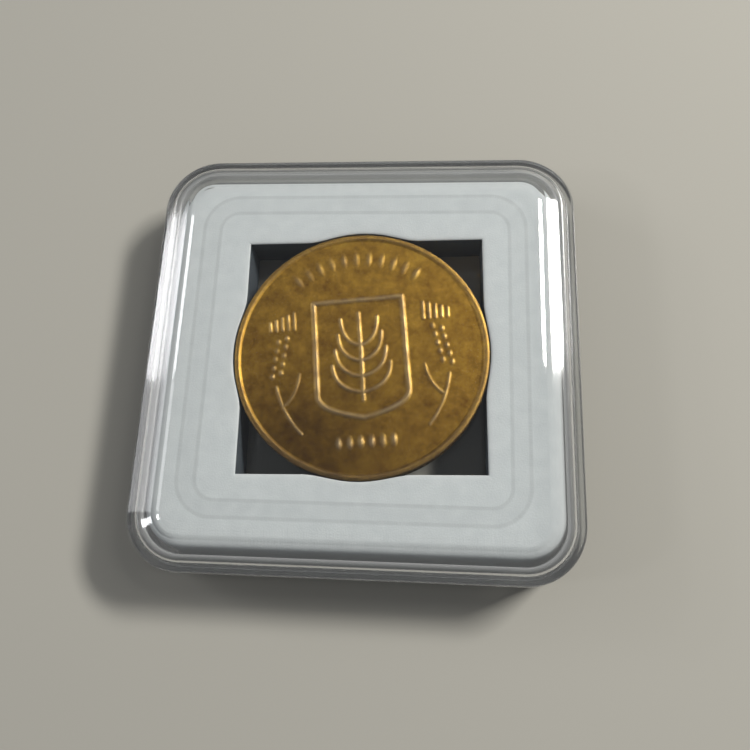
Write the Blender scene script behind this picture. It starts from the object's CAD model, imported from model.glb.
from collections import namedtuple
import math

import bpy
import numpy as np
from mathutils import Matrix, Vector


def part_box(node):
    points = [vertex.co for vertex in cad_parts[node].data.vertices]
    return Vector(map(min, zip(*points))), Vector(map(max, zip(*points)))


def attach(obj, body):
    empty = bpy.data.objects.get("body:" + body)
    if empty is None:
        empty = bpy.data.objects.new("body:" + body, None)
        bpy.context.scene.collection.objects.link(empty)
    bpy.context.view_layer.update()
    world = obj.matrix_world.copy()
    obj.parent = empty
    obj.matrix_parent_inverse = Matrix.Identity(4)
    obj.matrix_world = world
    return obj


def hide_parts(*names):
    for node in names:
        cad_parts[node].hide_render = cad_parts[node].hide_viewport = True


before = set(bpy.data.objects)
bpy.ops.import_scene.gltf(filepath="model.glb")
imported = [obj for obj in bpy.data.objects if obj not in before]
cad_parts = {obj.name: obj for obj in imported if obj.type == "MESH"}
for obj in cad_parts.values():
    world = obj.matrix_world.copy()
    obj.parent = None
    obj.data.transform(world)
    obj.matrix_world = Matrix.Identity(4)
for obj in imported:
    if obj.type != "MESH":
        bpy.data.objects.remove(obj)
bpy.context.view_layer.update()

# Everything is in metres, in the frame's own axes. MM turns a size in millimetres into metres.
MM = 0.001

# ---------------------------------------------------------------- sizes read from the frame
lid_low, lid_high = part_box("lid")
base_low, base_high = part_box("base")
foam_low, foam_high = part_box("foam_inlay")
coin_low, coin_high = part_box("coin")
SIDE_HALF = lid_high.x
TOP = lid_high.z
LID_SEAM = lid_low.z
LIP_TOP = base_high.z
FOAM_HALF = (foam_high - foam_low) / 2
FOAM_CENTRE = (foam_low + foam_high) / 2
COIN_RADIUS = (coin_high.x - coin_low.x) / 2
COIN_CENTRE = (coin_low + coin_high) / 2

# ---------------------------------------------------------------- sizes of the moulded walls
CORNER = 5.1 * MM
PLATE = foam_low.z
SKIRT_WALL = 0.9 * MM
FIT_GAP = 0.05 * MM
LIP_HALF = SIDE_HALF - SKIRT_WALL - FIT_GAP
LIP_WALL = 0.8 * MM
SEAM_GAP = 0.03 * MM
BASE_SEAM = LID_SEAM - SEAM_GAP
SEAM_BEVEL = 0.15 * MM
FRAME_HALF = 16.0 * MM
LEDGE_HALF = 16.35 * MM
LEDGE_DROP = 0.12 * MM
BEVEL_HALF = 16.75 * MM
CREASE_HALF = 17.85 * MM
UPPER_BEVEL_DROP = 0.37 * MM
LOWER_BEVEL_DROP = 0.65 * MM
TOP_EDGE = 0.5 * MM
BOTTOM_EDGE = 0.8 * MM
WINDOW_HALF = 14.85 * MM
WINDOW_CORNER = 3.2 * MM
WINDOW_SLOPE = 1.45 * MM
WINDOW_DROP = 0.35 * MM
FOOT_HALF = 13.2 * MM
FOOT_SLOPE = 0.9 * MM
FOOT_CORNER = 2.6 * MM
FOOT_DROP = 0.3 * MM

# ---------------------------------------------------------------- sizes of the foam and the coin
FOAM_CORNER = 3.2 * MM
HOLE_HALF = 10.825 * MM
HOLE_TURN = math.radians(1.3)
HOLE_CENTRE = Vector((COIN_CENTRE.x + 0.2 * MM, COIN_CENTRE.y - 0.1 * MM, 0))
COIN_TURN = math.radians(6.0)

# the coin is built in millimetres: its field stops short of the edge and lies below the rim
FIELD_MARGIN = 0.68
FIELD_DROP = 0.16
FINE_GRID = 248
COARSE_GRID = FINE_GRID // 2
REEDS = 124

# One ring of the coin's rim: how far it is in from the edge and below the face, how worn it is, and
# how deep the reeds are there. RIM goes from the field outwards, and serves both faces.
RimRing = namedtuple("RimRing", "inset depth worn reed", defaults=[0.0])
RIM = [
    RimRing(0.62, FIELD_DROP - 0.02, 0.0),
    RimRing(0.5, 0.05, 0.15),
    RimRing(0.44, 0.008, 0.3),
    RimRing(0.38, 0.0, 0.2),
    RimRing(0.28, 0.0, 0.2),
    RimRing(0.16, 0.02, 0.2),
    RimRing(0.05, 0.09, 0.3),
    RimRing(0.0, 0.2, 0.3),
    RimRing(0.0, 0.26, 0.1, 0.07),
]

# ---------------------------------------------------------------- sections of the shells
# the corner arcs of the sides, of the sunk window and of the foot each keep one centre
SIDE_CENTRE = SIDE_HALF - CORNER
WINDOW_CENTRE = WINDOW_HALF - WINDOW_CORNER
FOOT_CENTRE = FOOT_HALF - FOOT_CORNER

# no corner arc is smaller than this, and a rounding smaller than FINE_ROUND needs few steps
SHARPEST_CORNER = 0.02 * MM
FINE_ROUND = 0.12 * MM

# One corner of a shell's section: half size and height, its rounding, the centre of the outline's
# corner arcs, and the kind of surface there, which may change along the rounding to a last one.
Turn = namedtuple("Turn", "half height round centre zone last", defaults=[None])

# A kind of surface: how clear it is, the share of a lamp's light that it lets by, its roughness,
# and how light its tint is.
Zone = namedtuple("Zone", "clear lamp rough tint")
PANE = Zone(1.0, 0.93, 0.0, 1.0)
SLOPE = Zone(1.0, 0.93, 0.0, 0.93)
STEP = Zone(1.0, 0.93, 0.0, 0.78)
BEVEL = Zone(0.97, 0.85, 0.05, 1.0)
WALL = Zone(0.95, 0.85, 0.14, 1.0)
GRIP = Zone(0.65, 0.85, 0.14, 1.0)
FACE = Zone(0.92, 0.15, 0.14, 1.0)


# ---------------------------------------------------------------- mesh building
def make_object(name, points, faces, smooth=True):
    mesh = bpy.data.meshes.new(name)
    mesh.from_pydata([tuple(point) for point in points], [], faces)
    mesh.validate()
    mesh.update()
    for polygon in mesh.polygons:
        polygon.use_smooth = smooth
    piece = bpy.data.objects.new(name, mesh)
    bpy.context.scene.collection.objects.link(piece)
    return piece


def give_trait(piece, name, values):
    """A value at every point of the mesh, for its material to read by name."""
    layer = piece.data.attributes.new(name, "FLOAT", "POINT")
    layer.data.foreach_set("value", np.asarray(values, np.float32).ravel())


def square_ring(half, corner, height, arc_steps=20, side_steps=6):
    """Points of a square with round corners, anticlockwise from the start of the first corner."""
    middle = half - corner
    points = []
    for quarter in range(4):
        turn = Matrix.Rotation(quarter * math.pi / 2, 3, "Z")
        for step in range(arc_steps + 1):
            angle = step / arc_steps * math.pi / 2
            spot = Vector((middle + corner * math.cos(angle), middle + corner * math.sin(angle), 0))
            points.append(turn @ spot + Vector((0, 0, height)))
        for step in range(1, side_steps):
            along = middle * (1 - 2 * step / side_steps)
            points.append(turn @ Vector((along, half, 0)) + Vector((0, 0, height)))
    return points


def skin_rings(rings, close=False):
    """Quads between rings that have equal numbers of points, with a flat cap on each end."""
    count = len(rings[0])
    points = [point for ring in rings for point in ring]
    faces = []
    pairs = list(zip(range(len(rings) - 1), range(1, len(rings))))
    if close:
        pairs.append((len(rings) - 1, 0))
    for low, high in pairs:
        for index in range(count):
            following = (index + 1) % count
            faces.append(
                (low * count + index, high * count + index, high * count + following, low * count + following)
            )
    if not close:
        faces.append(tuple(range(count)))
        faces.append(tuple(reversed(range((len(rings) - 1) * count, len(rings) * count))))
    return points, faces


def corner_arc(corner, to_before, to_after, radius, steps):
    """Points of the arc that rounds a corner between two directions."""
    half_angle = to_before.angle(to_after) / 2
    centre = corner + (to_before + to_after).normalized() * radius / math.sin(half_angle)
    start = corner + to_before * radius / math.tan(half_angle) - centre
    sweep = math.pi - 2 * half_angle
    if to_before.x * to_after.y - to_before.y * to_after.x > 0:
        sweep = -sweep
    return [centre + Matrix.Rotation(sweep * step / steps, 2) @ start for step in range(steps + 1)]


def mixed_zone(turn, share):
    """The kind of surface at a share of the way round a corner's arc."""
    late = min(max(3 * share - 1.2, 0), 1)
    return Zone(*(first + (last - first) * late for first, last in zip(turn.zone, turn.last)))


def build_shell(name, section):
    """A shell from its section. Each corner is rounded, with a close ring on both sides of it."""
    spots = [(Vector((section[0].half, section[0].height)), section[0], section[0].zone)]
    for before, turn, after in zip(section, section[1:], section[2:]):
        corner = Vector((turn.half, turn.height))
        if turn.round == 0:
            spots.append((corner, turn, turn.zone))
            continue
        to_before = (Vector((before.half, before.height)) - corner).normalized()
        to_after = (Vector((after.half, after.height)) - corner).normalized()
        steps = 3 if turn.round < FINE_ROUND else 10
        arc = corner_arc(corner, to_before, to_after, turn.round, steps)
        last = turn.last or turn.zone
        hold = 0.25 * turn.round
        spots.append((arc[0] + to_before * hold, turn, turn.zone))
        for step, point in enumerate(arc):
            zone = mixed_zone(turn, step / steps) if turn.last else turn.zone
            spots.append((point, turn, zone))
        spots.append((arc[-1] + to_after * hold, turn, last))
    spots.append((Vector((section[-1].half, section[-1].height)), section[-1], section[-1].zone))
    rings = [
        square_ring(spot.x, max(spot.x - turn.centre, SHARPEST_CORNER), spot.y)
        for spot, turn, _ in spots
    ]
    shell = make_object(name, *skin_rings(rings))
    for field in Zone._fields:
        values = [getattr(zone, field) for _, _, zone in spots]
        give_trait(shell, field, np.repeat(values, len(rings[0])))
    return shell


# ---------------------------------------------------------------- the two clear shells
def build_lid():
    """Lid from the pane outwards, over the edge, down the skirt, round its foot and back inside."""
    inner = SIDE_HALF - SKIRT_WALL
    under = TOP - PLATE
    pane = WINDOW_HALF - WINDOW_SLOPE
    ledge = TOP - LEDGE_DROP
    crease = ledge - UPPER_BEVEL_DROP
    near = 0.2 * MM
    fall = near * WINDOW_DROP / WINDOW_SLOPE
    section = [
        Turn(pane * 0.5, TOP - WINDOW_DROP, 0, WINDOW_CENTRE, PANE),
        Turn(pane - near, TOP - WINDOW_DROP, 0, WINDOW_CENTRE, PANE),
        Turn(pane, TOP - WINDOW_DROP, 0.3 * MM, WINDOW_CENTRE, STEP),
        Turn(pane + near, TOP - WINDOW_DROP + fall, 0, WINDOW_CENTRE, SLOPE),
        Turn(WINDOW_HALF - near, TOP - fall, 0, WINDOW_CENTRE, SLOPE),
        Turn(WINDOW_HALF, TOP, 0.3 * MM, WINDOW_CENTRE, STEP),
        Turn(WINDOW_HALF + near, TOP, 0, WINDOW_CENTRE, PANE),
        Turn(FRAME_HALF, TOP, 0.15 * MM, SIDE_CENTRE, PANE),
        Turn(LEDGE_HALF, ledge, 0.15 * MM, SIDE_CENTRE, PANE),
        Turn(BEVEL_HALF, ledge, 0.3 * MM, SIDE_CENTRE, PANE, BEVEL),
        Turn(CREASE_HALF, crease, 2.0 * MM, SIDE_CENTRE, BEVEL),
        Turn(SIDE_HALF, crease - LOWER_BEVEL_DROP, TOP_EDGE, SIDE_CENTRE, BEVEL, FACE),
        Turn(SIDE_HALF, LID_SEAM + SEAM_BEVEL, 0.05 * MM, SIDE_CENTRE, FACE),
        Turn(SIDE_HALF - SEAM_BEVEL, LID_SEAM, 0.05 * MM, SIDE_CENTRE, FACE),
        Turn(inner, LID_SEAM, 0.08 * MM, SIDE_CENTRE, WALL),
        Turn(inner, under, 0.6 * MM, SIDE_CENTRE, WALL),
        Turn(FRAME_HALF, under, 0, SIDE_CENTRE, PANE),
        Turn(WINDOW_HALF, under, 0.3 * MM, WINDOW_CENTRE, PANE),
        Turn(pane, under - WINDOW_DROP, 0.3 * MM, WINDOW_CENTRE, PANE),
        Turn(pane * 0.5, under - WINDOW_DROP, 0, WINDOW_CENTRE, PANE),
    ]
    return build_shell("lid_shell", section)


def build_base():
    """Base from its floor outwards, up inside the lip, over it, and down to the foot."""
    inner = LIP_HALF - LIP_WALL
    sole = FOOT_HALF - FOOT_SLOPE
    section = [
        Turn(inner * 0.5, PLATE, 0, SIDE_CENTRE, PANE),
        Turn(inner - 1.5 * MM, PLATE, 0, SIDE_CENTRE, PANE),
        Turn(inner, PLATE, 0.1 * MM, SIDE_CENTRE, GRIP),
        Turn(inner, LIP_TOP, 0.08 * MM, SIDE_CENTRE, GRIP),
        Turn(LIP_HALF, LIP_TOP, 0.2 * MM, SIDE_CENTRE, WALL),
        Turn(LIP_HALF, BASE_SEAM, 0.04 * MM, SIDE_CENTRE, WALL),
        Turn(SIDE_HALF - SEAM_BEVEL, BASE_SEAM, 0.05 * MM, SIDE_CENTRE, FACE),
        Turn(SIDE_HALF, BASE_SEAM - SEAM_BEVEL, 0.05 * MM, SIDE_CENTRE, FACE),
        Turn(SIDE_HALF, FOOT_DROP, BOTTOM_EDGE, SIDE_CENTRE, FACE),
        Turn(inner - 1.0 * MM, FOOT_DROP, 0, SIDE_CENTRE, PANE),
        Turn(FOOT_HALF, FOOT_DROP, 0.3 * MM, FOOT_CENTRE, PANE),
        Turn(sole, 0, 0.3 * MM, FOOT_CENTRE, PANE),
        Turn(sole * 0.5, 0, 0, FOOT_CENTRE, PANE),
    ]
    return build_shell("base_shell", section)


# ---------------------------------------------------------------- the foam inlay
def smooth_max(first, second, blend):
    """The larger of two values, with the change from one to the other rounded off."""
    spread = max(blend - abs(first - second), 0.0) / blend
    return max(first, second) + spread * spread * blend / 4


def hole_outline(push, steps=40):
    """The punched square, turned a little, with its sides pushed out where the coin presses."""
    offset = Vector((COIN_CENTRE.x, COIN_CENTRE.y, 0)) - HOLE_CENTRE
    points = []
    for quarter in range(4):
        turn = Matrix.Rotation(quarter * math.pi / 2 + HOLE_TURN, 3, "Z")
        coin = turn.transposed() @ offset
        for step in range(steps):
            along = HOLE_HALF * math.sin(math.radians(90 * (2 * step / steps - 1)))
            chord = math.sqrt(max(COIN_RADIUS ** 2 - (along - coin.y) ** 2, 0))
            pressed = smooth_max(HOLE_HALF, coin.x + chord, 0.45 * MM)
            out = HOLE_HALF + (pressed - HOLE_HALF) * push
            points.append(turn @ Vector((out, along, 0)) + HOLE_CENTRE)
    return points


def ray_to_outline(ray, inset):
    """Where a ray from the foam's middle meets its outline, drawn in all round by an inset."""
    across = FOAM_HALF.x - inset
    along = FOAM_HALF.y - inset
    corner = FOAM_CORNER - inset
    aside, ahead = abs(ray.x), abs(ray.y)
    reach = min(across / max(aside, 1e-9), along / max(ahead, 1e-9))
    across -= corner
    along -= corner
    if aside * reach > across and ahead * reach > along:
        middle = across * aside + along * ahead
        reach = middle + math.sqrt(max(middle ** 2 - across ** 2 - along ** 2 + corner ** 2, 0))
    return ray * reach


def build_foam():
    """Foam square: rings from the bottom of the hole up, over the top, and down the outside."""
    top = foam_high.z
    bottom = foam_low.z
    middle = Vector((FOAM_CENTRE.x, FOAM_CENTRE.y, 0))
    lip = 0.12 * MM
    rings = []
    wall = [
        (bottom, 0.12),
        (bottom + 0.6 * MM, 0.2),
        (coin_low.z - 0.5 * MM, 0.55),
        (coin_low.z, 1.0),
        ((coin_low.z + top) / 2, 1.06),
        (top - lip, 1.08),
        (top - lip * 0.3, 1.12),
    ]
    for height, push in wall:
        rings.append([spot + Vector((0, 0, height)) for spot in hole_outline(push)])
    inside = hole_outline(1.16)
    rays = [(spot - middle).normalized() for spot in inside]
    across = 1.3 * MM
    down = 0.55 * MM
    flat = [ray_to_outline(ray, across) + middle for ray in rays]
    for share in (0.03, 0.08, 0.16, 0.3, 0.45, 0.6, 0.75, 0.88, 1.0):
        rings.append(
            [near.lerp(far, share) + Vector((0, 0, top)) for near, far in zip(inside, flat)]
        )
    sides = []
    for step in range(1, 11):
        angle = math.radians(9 * step)
        sides.append((across * (1 - math.sin(angle)), top - down * (1 - math.cos(angle))))
    sides.extend([(0, (top + bottom) / 2), (0, bottom + lip), (lip, bottom)])
    for inset, height in sides:
        lift = middle + Vector((0, 0, height))
        rings.append([ray_to_outline(ray, inset) + lift for ray in rays])
    pad = make_object("foam_pad", *skin_rings(rings, close=True))
    shares = np.zeros((len(rings), len(rays)))
    shares[: len(wall) - 1] = 1
    give_trait(pad, "cut", shares)
    return pad


# ---------------------------------------------------------------- the coin's struck design
def bump(distance, width, height):
    """A rounded ridge: full height where the distance is nil, and none at its width."""
    share = np.clip(1 - distance / width, 0, 1)
    return height * share * share * (3 - 2 * share)


def segment_distance(x, y, start, end):
    ax, ay = start
    bx, by = end
    length = (bx - ax) ** 2 + (by - ay) ** 2
    along = np.clip(((x - ax) * (bx - ax) + (y - ay) * (by - ay)) / length, 0, 1)
    return np.hypot(x - ax - along * (bx - ax), y - ay - along * (by - ay))


def path_distance(x, y, path):
    nearest = np.full_like(x, 1e3)
    for start, end in zip(path, path[1:]):
        nearest = np.minimum(nearest, segment_distance(x, y, start, end))
    return nearest


def curve_points(start, bend, end, steps=12):
    """Points on a quadratic curve."""
    points = []
    for step in range(steps + 1):
        share = step / steps
        keep = 1 - share
        points.append(
            tuple(
                keep * keep * a + 2 * keep * share * b + share * share * c
                for a, b, c in zip(start, bend, end)
            )
        )
    return points


def shield_outline(half, top, shoulder, point):
    """The heater shield's outline as a closed path, in millimetres."""
    bend = (0.93 * half, shoulder + 0.65 * (point - shoulder))
    right = curve_points((half, shoulder), bend, (0, point))
    left = [(-px, py) for px, py in reversed(right)]
    return [(-half, top), (half, top), *right, *left[1:], (-half, top)]


def strike_shield(x, y):
    """Shield border, and a leaf of one midrib and steep veins inside it."""
    relief = bump(path_distance(x, y, shield_outline(4.05, 5.0, -3.9, -5.95)), 0.36, 0.15)
    rib = path_distance(x, y, [(0, -4.4), (0.05, 0), (0, 3.7)])
    relief = np.maximum(relief, bump(rib, 0.3, 0.14))
    for side in (-1, 1):
        for number in range(4):
            root = -3.3 + 1.45 * number
            reach = 2.6 * (1 - 0.12 * number)
            vein = curve_points(
                (side * 0.1, root - 0.35), (side * reach * 0.95, root), (side * reach, root + 2.2)
            )
            relief = np.maximum(relief, bump(path_distance(x, y, vein), 0.26, 0.13))
    return relief


def strike_ears(x, y):
    """A grain ear on each side: awns, two rows of kernels and a leaning stalk with one blade."""
    relief = np.zeros_like(x)
    for side in (-1, 1):
        for number in range(5):
            foot = (side * (5.86 + 0.55 * number), 2.7)
            tip = (side * (5.9 + 0.55 * number), 4.25 - 0.19 * number)
            relief = np.maximum(relief, bump(segment_distance(x, y, foot, tip), 0.23, 0.12))
        for number in range(5):
            for reach, level in ((6.6, 1.9), (7.4, 1.6)):
                across = (x - side * (reach + 0.16 * number)) / 0.75
                along = y - level + 0.8 * number
                relief = np.maximum(relief, bump(np.hypot(across, along), 0.42, 0.13))
        stalk = curve_points((side * 7.7, -2.6), (side * 7.2, -5.2), (side * 5.6, -7.0))
        relief = np.maximum(relief, bump(path_distance(x, y, stalk), 0.22, 0.1))
        blade = curve_points((side * 7.1, -4.4), (side * 5.9, -3.6), (side * 5.6, -1.6))
        relief = np.maximum(relief, bump(path_distance(x, y, blade), 0.22, 0.09))
    return relief


def strike_beads(x, y):
    """Long beads on an arc above the shield, and a short straight row of beads below it."""
    relief = np.zeros_like(x)
    for number in range(11):
        angle = math.radians(52 + 7.4 * number)
        outward = x * math.cos(angle) + y * math.sin(angle) - 9.0
        sideways = y * math.cos(angle) - x * math.sin(angle)
        relief = np.maximum(relief, bump(np.hypot(outward / 2.4, sideways), 0.4, 0.1))
    for number in range(6):
        across = x + 2.4 - 0.96 * number
        relief = np.maximum(relief, bump(np.hypot(across, (y + 8.1) / 1.9), 0.42, 0.15))
    return relief


def left_by_wear(x, y):
    """The share of the relief that handling has left, which differs from place to place."""
    waves = np.sin(2.1 * x + 1.3 * np.sin(1.7 * y)) * np.sin(2.6 * y + 1.1 * np.sin(1.9 * x))
    return 0.8 + 0.2 * waves


def strike_obverse(x, y):
    return np.maximum(np.maximum(strike_shield(x, y), strike_ears(x, y)), strike_beads(x, y))


def strike_reverse(x, y):
    """A wreath of plain leaves round a rosette, with a ring of beads."""
    relief = np.zeros_like(x)
    radius = np.hypot(x, y)
    for number in range(28):
        angle = math.radians(360 / 28 * number)
        lean = angle + (0.16 if number % 2 else -0.16)
        foot = (6.1 * math.cos(angle), 6.1 * math.sin(angle))
        tip = (8.0 * math.cos(lean), 8.0 * math.sin(lean))
        relief = np.maximum(relief, bump(segment_distance(x, y, foot, tip), 0.42, 0.13))
    relief = np.maximum(relief, bump(np.abs(radius - 5.9), 0.2, 0.1))
    for number in range(8):
        angle = math.radians(45 * number)
        tip = (3.9 * math.cos(angle), 3.9 * math.sin(angle))
        relief = np.maximum(relief, bump(segment_distance(x, y, (0.0, 0.0), tip), 0.5, 0.14))
    relief = np.maximum(relief, bump(radius, 0.9, 0.16))
    for number in range(72):
        angle = math.radians(5 * number)
        bead = np.hypot(x - 9.5 * math.cos(angle), y - 9.5 * math.sin(angle))
        relief = np.maximum(relief, bump(bead, 0.26, 0.1))
    return relief


def field_grid(steps, radius):
    """A square grid bent to fill a disc, in millimetres: x and y arrays."""
    line = np.linspace(-1, 1, steps + 1)
    u, v = np.meshgrid(line, line, indexing="ij")
    return radius * u * np.sqrt(1 - v * v / 2), radius * v * np.sqrt(1 - u * u / 2)


def border_indices(steps):
    """Indices of a grid's border, anticlockwise from its lowest corner."""
    size = steps + 1
    low = [index * size for index in range(steps)]
    right = [steps * size + index for index in range(steps)]
    high = [(steps - index) * size + steps for index in range(steps)]
    left = [steps - index for index in range(steps)]
    return low + right + high + left


def grid_faces(steps, start, flip):
    size = steps + 1
    faces = []
    for row in range(steps):
        for column in range(steps):
            corner = start + row * size + column
            face = (corner, corner + size, corner + size + 1, corner + 1)
            faces.append(tuple(reversed(face)) if flip else face)
    return faces


def rim_rings(outline, radius, thick):
    """Rings of points, and how worn each is: over the upper rim, down the reeds, round the lower rim."""
    levels = [(ring, thick - ring.depth) for ring in RIM]
    levels += [(ring, ring.depth) for ring in reversed(RIM)]
    rings = []
    for ring, z in levels:
        points = []
        for direction in outline:
            angle = math.atan2(direction.y, direction.x)
            groove = ring.reed * (0.5 + 0.5 * math.cos(angle * REEDS)) ** 0.6
            spot = direction * (radius - ring.inset - groove)
            points.append([spot.x, spot.y, z])
        rings.append((points, ring.worn))
    return rings


def band_faces(upper, lower):
    """Quads between two rings of point numbers."""
    faces = []
    for index in range(len(upper)):
        following = (index + 1) % len(upper)
        faces.append((upper[index], lower[index], lower[following], upper[following]))
    return faces


def joint_faces(fine, coarse):
    """Faces from a ring of point numbers to one inside it that has half as many."""
    faces = []
    for index in range(len(coarse)):
        first = 2 * index
        following = coarse[(index + 1) % len(coarse)]
        faces.append(
            (fine[first], coarse[index], following, fine[(first + 2) % len(fine)], fine[first + 1])
        )
    return faces


def coin_patina(points, radius):
    """How much the alloy has aged: more towards one side, and most in one patch."""
    spots = np.array(points)
    patch = np.hypot(spots[:, 0] + 0.5 * radius, spots[:, 1] + 0.7 * radius) / (0.4 * radius)
    return 0.38 - 0.33 * spots[:, 1] / radius + 0.55 * np.exp(-patch ** 2)


def build_coin():
    """Both struck faces as fine grids, joined by rings that make the rims and the reeded edge."""
    radius = COIN_RADIUS / MM
    thick = (coin_high.z - coin_low.z) / MM
    points = []
    heights = []
    faces = []
    borders = []
    sides = ((FINE_GRID, strike_obverse, False), (COARSE_GRID, strike_reverse, True))
    for steps, strike, under in sides:
        x, y = field_grid(steps, radius - FIELD_MARGIN)
        relief = np.minimum(strike(x, y), FIELD_DROP - 0.01) * left_by_wear(x, y)
        level = FIELD_DROP - relief
        z = level if under else thick - level
        start = len(points)
        points.extend(np.column_stack([x.ravel(), y.ravel(), z.ravel()]).tolist())
        heights.extend((relief / FIELD_DROP).ravel().tolist())
        faces.extend(grid_faces(steps, start, under))
        borders.append([start + index for index in border_indices(steps)])
    upper, back = borders
    outline = [Vector(points[index]).to_2d().normalized() for index in upper]
    for ring, worn in rim_rings(outline, radius, thick):
        lower = list(range(len(points), len(points) + len(ring)))
        points.extend(ring)
        heights.extend([worn] * len(ring))
        faces.extend(band_faces(upper, lower))
        upper = lower
    faces.extend(joint_faces(upper, back))
    turn = Matrix.Rotation(COIN_TURN, 3, "Z")
    shift = Vector((COIN_CENTRE.x, COIN_CENTRE.y, coin_low.z))
    coin = make_object("coin_struck", [turn @ (Vector(point) * MM) + shift for point in points], faces)
    give_trait(coin, "relief", heights)
    give_trait(coin, "patina", coin_patina(points, radius))
    return coin


# ---------------------------------------------------------------- materials
def new_material(name):
    material = bpy.data.materials.new(name)
    material.use_nodes = True
    nodes = material.node_tree.nodes
    nodes.clear()
    output = nodes.new("ShaderNodeOutputMaterial")
    return material, nodes, material.node_tree.links, output


def noise(nodes, links, coordinates, scale, detail=4, roughness=0.5):
    texture = nodes.new("ShaderNodeTexNoise")
    texture.inputs["Scale"].default_value = scale
    texture.inputs["Detail"].default_value = detail
    texture.inputs["Roughness"].default_value = roughness
    links.new(coordinates, texture.inputs["Vector"])
    return texture


def ramp(nodes, links, source, stops):
    """A colour ramp from (position, colour) stops."""
    mapper = nodes.new("ShaderNodeValToRGB")
    elements = mapper.color_ramp.elements
    while len(elements) < len(stops):
        elements.new(0.5)
    for element, (position, colour) in zip(elements, stops):
        element.position = position
        element.color = (*colour, 1)
    links.new(source, mapper.inputs["Fac"])
    return mapper


def spread(nodes, links, source, low, high):
    """A value from 0 to 1 mapped on to a range."""
    mapper = nodes.new("ShaderNodeMapRange")
    mapper.inputs["To Min"].default_value = low
    mapper.inputs["To Max"].default_value = high
    links.new(source, mapper.inputs["Value"])
    return mapper.outputs["Result"]


def trait(nodes, name):
    """A value that the mesh carries at its points."""
    reader = nodes.new("ShaderNodeAttribute")
    reader.attribute_name = name
    return reader.outputs["Fac"]


def clear_plastic(name):
    """Clear moulded polystyrene. Lamps shine through its plates, and less through its walls."""
    material, nodes, links, output = new_material(name)
    coordinates = nodes.new("ShaderNodeTexCoord").outputs["Object"]
    plastic = nodes.new("ShaderNodeBsdfPrincipled")
    colour = nodes.new("ShaderNodeMix")
    colour.data_type = "RGBA"
    links.new(trait(nodes, "tint"), colour.inputs["Factor"])
    colour.inputs["A"].default_value = (0, 0, 0, 1)
    colour.inputs["B"].default_value = (0.975, 0.985, 0.985, 1)
    links.new(colour.outputs["Result"], plastic.inputs["Base Color"])
    plastic.inputs["IOR"].default_value = 1.58
    rubs = noise(nodes, links, coordinates, 2600, 6, 0.7)
    roughness = nodes.new("ShaderNodeMath")
    links.new(spread(nodes, links, rubs.outputs["Fac"], 0.0, 0.05), roughness.inputs[0])
    links.new(trait(nodes, "rough"), roughness.inputs[1])
    links.new(roughness.outputs["Value"], plastic.inputs["Roughness"])
    links.new(trait(nodes, "clear"), plastic.inputs["Transmission Weight"])
    waves = noise(nodes, links, coordinates, 120, 2)
    bump_node = nodes.new("ShaderNodeBump")
    bump_node.inputs["Strength"].default_value = 0.2
    bump_node.inputs["Distance"].default_value = 0.04 * MM
    links.new(waves.outputs["Fac"], bump_node.inputs["Height"])
    links.new(bump_node.outputs["Normal"], plastic.inputs["Normal"])
    lamp_light = nodes.new("ShaderNodeBsdfTransparent")
    links.new(trait(nodes, "lamp"), lamp_light.inputs["Color"])
    path = nodes.new("ShaderNodeLightPath")
    passes = nodes.new("ShaderNodeMath")
    passes.operation = "MAXIMUM"
    links.new(path.outputs["Is Shadow Ray"], passes.inputs[0])
    links.new(path.outputs["Is Diffuse Ray"], passes.inputs[1])
    mix = nodes.new("ShaderNodeMixShader")
    links.new(passes.outputs["Value"], mix.inputs["Fac"])
    links.new(plastic.outputs["BSDF"], mix.inputs[1])
    links.new(lamp_light.outputs["BSDF"], mix.inputs[2])
    links.new(mix.outputs["Shader"], output.inputs["Surface"])
    return material


def white_foam():
    """Closed-cell foam: cool white, with fine cells and a soft mottle."""
    material, nodes, links, output = new_material("closed_cell_foam")
    coordinates = nodes.new("ShaderNodeTexCoord").outputs["Object"]
    foam = nodes.new("ShaderNodeBsdfPrincipled")
    mottle = noise(nodes, links, coordinates, 900, 5, 0.6)
    colour = ramp(
        nodes, links, mottle.outputs["Fac"], [(0.3, (0.72, 0.76, 0.765)), (0.7, (0.79, 0.83, 0.83))]
    )
    edge = nodes.new("ShaderNodeMix")
    edge.data_type = "RGBA"
    links.new(trait(nodes, "cut"), edge.inputs["Factor"])
    links.new(colour.outputs["Color"], edge.inputs["A"])
    edge.inputs["B"].default_value = (0.05, 0.06, 0.07, 1)
    links.new(edge.outputs["Result"], foam.inputs["Base Color"])
    foam.inputs["Roughness"].default_value = 0.85
    foam.inputs["Subsurface Weight"].default_value = 0.6
    foam.inputs["Subsurface Radius"].default_value = (1.2, 1.2, 1.2)
    foam.inputs["Subsurface Scale"].default_value = MM
    foam.inputs["Specular IOR Level"].default_value = 0.2
    cells = nodes.new("ShaderNodeTexVoronoi")
    cells.inputs["Scale"].default_value = 7000
    links.new(coordinates, cells.inputs["Vector"])
    bump_node = nodes.new("ShaderNodeBump")
    bump_node.inputs["Strength"].default_value = 0.3
    bump_node.inputs["Distance"].default_value = 0.04 * MM
    links.new(cells.outputs["Distance"], bump_node.inputs["Height"])
    links.new(bump_node.outputs["Normal"], foam.inputs["Normal"])
    links.new(foam.outputs["BSDF"], output.inputs["Surface"])
    return material


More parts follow.
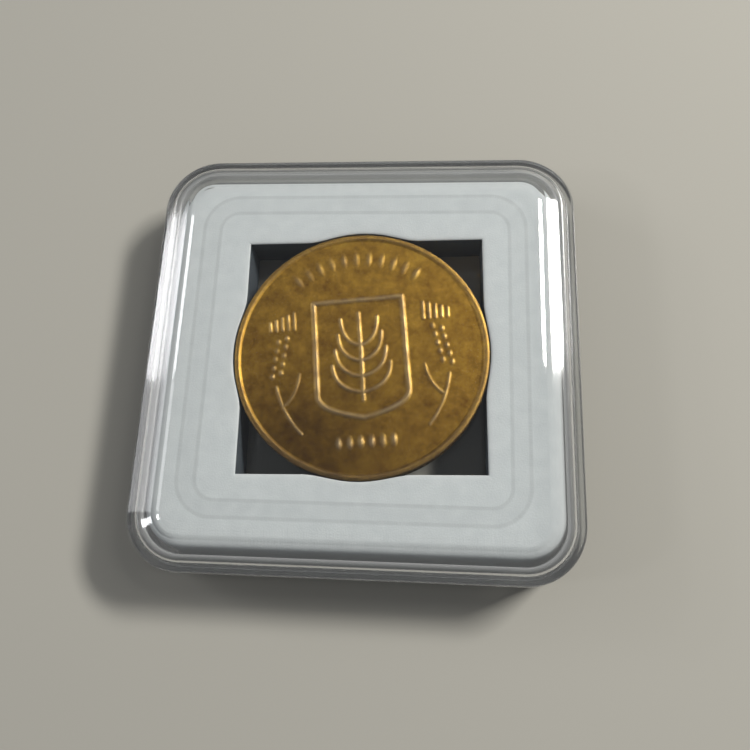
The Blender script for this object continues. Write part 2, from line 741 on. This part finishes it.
def coin_brass():
    """Circulated brass-coloured alloy: brown in the field, brighter where the relief is rubbed."""
    material, nodes, links, output = new_material("circulated_brass")
    coordinates = nodes.new("ShaderNodeTexCoord").outputs["Object"]
    metal = nodes.new("ShaderNodeBsdfPrincipled")
    metal.inputs["Metallic"].default_value = 1.0
    tarnish = noise(nodes, links, coordinates, 700, 8, 0.78)
    field = ramp(
        nodes, links, tarnish.outputs["Fac"], [(0.32, (0.14, 0.062, 0.006)), (0.68, (0.44, 0.26, 0.034))]
    )
    shade = ramp(nodes, links, trait(nodes, "patina"), [(0.0, (1, 1, 1)), (1.0, (0.34, 0.31, 0.28))])
    aged = nodes.new("ShaderNodeMix")
    aged.data_type = "RGBA"
    aged.blend_type = "MULTIPLY"
    aged.inputs["Factor"].default_value = 1
    links.new(field.outputs["Color"], aged.inputs["A"])
    links.new(shade.outputs["Color"], aged.inputs["B"])
    rubbed = nodes.new("ShaderNodeMix")
    rubbed.data_type = "RGBA"
    links.new(spread(nodes, links, trait(nodes, "relief"), 0.0, 0.42), rubbed.inputs["Factor"])
    links.new(aged.outputs["Result"], rubbed.inputs["A"])
    rubbed.inputs["B"].default_value = (0.5, 0.41, 0.27, 1)
    links.new(rubbed.outputs["Result"], metal.inputs["Base Color"])
    links.new(spread(nodes, links, tarnish.outputs["Fac"], 0.62, 0.42), metal.inputs["Roughness"])
    grain = noise(nodes, links, coordinates, 5200, 5, 0.65)
    bump_node = nodes.new("ShaderNodeBump")
    bump_node.inputs["Strength"].default_value = 0.5
    bump_node.inputs["Distance"].default_value = 0.03 * MM
    links.new(grain.outputs["Fac"], bump_node.inputs["Height"])
    links.new(bump_node.outputs["Normal"], metal.inputs["Normal"])
    links.new(metal.outputs["BSDF"], output.inputs["Surface"])
    return material


def pale_floor():
    material, nodes, links, output = new_material("pale_floor")
    surface = nodes.new("ShaderNodeBsdfPrincipled")
    surface.inputs["Base Color"].default_value = (0.475, 0.46, 0.41, 1)
    surface.inputs["Roughness"].default_value = 0.9
    surface.inputs["Specular IOR Level"].default_value = 0.1
    links.new(surface.outputs["BSDF"], output.inputs["Surface"])
    return material


def finish_piece(piece, material, body, node):
    piece.data.materials.append(material)
    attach(piece, body)
    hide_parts(node)


# ---------------------------------------------------------------- floor, light and camera
def build_floor():
    reach = 0.6
    corners = [(-reach, -reach, 0), (reach, -reach, 0), (reach, reach, 0), (-reach, reach, 0)]
    floor = make_object("floor", corners, [(0, 1, 2, 3)], smooth=False)
    floor.data.materials.append(pale_floor())


def add_area_light(name, place, target, size, power, colour=(1, 1, 1)):
    lamp = bpy.data.lights.new(name, "AREA")
    lamp.shape = "RECTANGLE"
    lamp.size, lamp.size_y = size
    lamp.energy = power
    lamp.color = colour
    holder = bpy.data.objects.new(name, lamp)
    bpy.context.scene.collection.objects.link(holder)
    holder.location = place
    holder.rotation_euler = (Vector(target) - Vector(place)).to_track_quat("-Z", "Y").to_euler()
    return holder


def light_scene():
    world = bpy.data.worlds.new("studio")
    bpy.context.scene.world = world
    world.use_nodes = True
    background = world.node_tree.nodes["Background"]
    background.inputs["Color"].default_value = (0.86, 0.9, 0.95, 1)
    background.inputs["Strength"].default_value = 0.145
    add_area_light("key", (0.294, 0.177, 0.26), (0, 0, 0), (0.13, 0.05), 2.0, (1.0, 0.98, 0.94))
    cool = (0.98, 0.98, 1.0)
    add_area_light("edge_upper", (-0.376, 0.159, 0.211), (0, 0, 0), (0.12, 0.026), 0.1, cool)
    add_area_light("edge_lower", (-0.4, 0.158, 0.164), (0, 0, 0), (0.12, 0.03), 0.14, cool)
    add_area_light("edge_soft", (-0.405, 0.046, 0.19), (0, 0, 0), (0.11, 0.13), 0.14, cool)
    add_area_light("corner", (-0.387, -0.075, 0.242), (0, 0, 0), (0.05, 0.05), 0.15, cool)


def place_camera():
    data = bpy.data.cameras.new("camera")
    data.sensor_width = 36.0
    data.lens = 32.52
    data.clip_start = 0.005
    data.clip_end = 10.0
    camera = bpy.data.objects.new("camera", data)
    bpy.context.scene.collection.objects.link(camera)
    right = Vector((0.99611, 0.03833, -0.07932)).normalized()
    back = Vector((0.08666, -0.26454, 0.96047)).normalized()
    up = back.cross(right).normalized()
    facing = Matrix((right, up, back)).transposed().to_4x4()
    facing.translation = Vector((6.796, -17.856, 62.451)) * MM
    camera.matrix_world = facing
    bpy.context.scene.camera = camera


# ---------------------------------------------------------------- the whole scene
finish_piece(build_lid(), clear_plastic("clear_lid"), "lid", "lid")
finish_piece(build_base(), clear_plastic("clear_base"), "base", "base")
foam_pad = build_foam()
finish_piece(foam_pad, white_foam(), "foam_inlay", "foam_inlay")
finish_piece(build_coin(), coin_brass(), "coin", "coin")
build_floor()
light_scene()
place_camera()
bpy.context.scene.view_settings.view_transform = "Standard"
